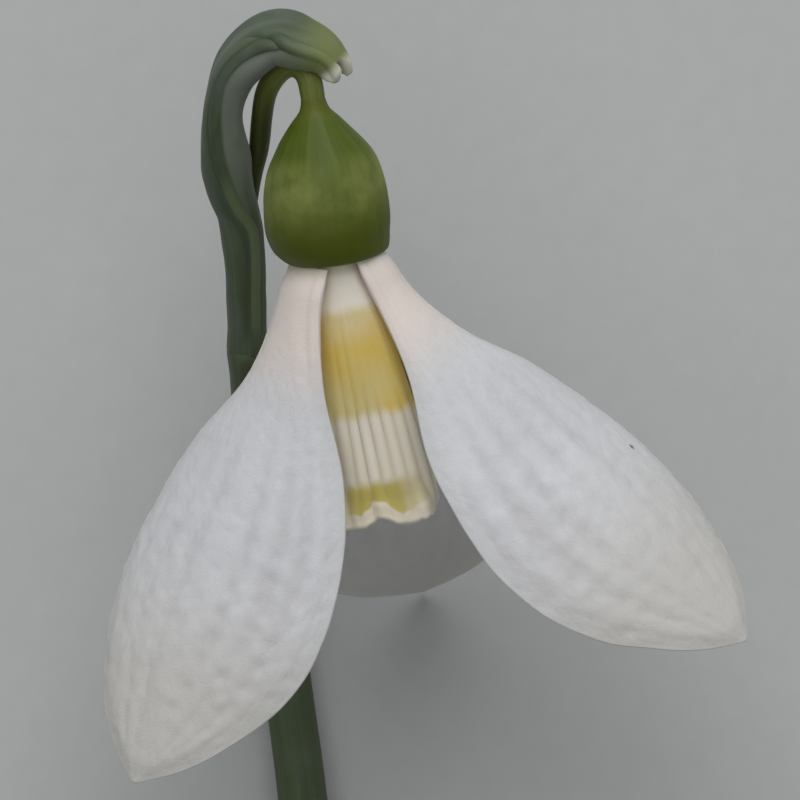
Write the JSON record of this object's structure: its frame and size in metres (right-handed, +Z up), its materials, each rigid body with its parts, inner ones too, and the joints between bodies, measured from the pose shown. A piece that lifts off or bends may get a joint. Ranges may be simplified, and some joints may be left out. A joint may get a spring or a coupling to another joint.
{
  "type": "snowdrop flower",
  "caption": "Single nodding snowdrop picked with its stem and laid down: white outer petals, yellow-marked inner cup, green ovary, arched sheath and long cut stem.",
  "frame": {"origin": "middle of the bounding box's base, on the surface that the picked flower lies on", "axes": "+Z up from that surface; +Y along the stem from its cut end to the flower; +X to the right petal's side"},
  "size_m": [0.0325, 0.0906, 0.0232],
  "materials": {
    "stem_green": "waxy satin",
    "sheath_green": "translucent satin",
    "pedicel_green": "satin",
    "ovary_green": "glossy satin",
    "petal_white": "soft translucent matte",
    "petal_cream": "soft translucent matte",
    "anther_orange": "matte",
    "style_white": "satin"
  },
  "bodies": {
    "root": {"scape": "stem_green", "spathe": "sheath_green", "pedicel": "pedicel_green", "ovary": "ovary_green", "outer_petal_left": "petal_white", "outer_petal_right": "petal_white", "outer_petal_back": "petal_white", "inner_petal_front": "petal_cream", "inner_petal_left": "petal_cream", "inner_petal_right": "petal_cream", "stamens": "anther_orange", "style": "style_white"}
  },
  "joints": []
}
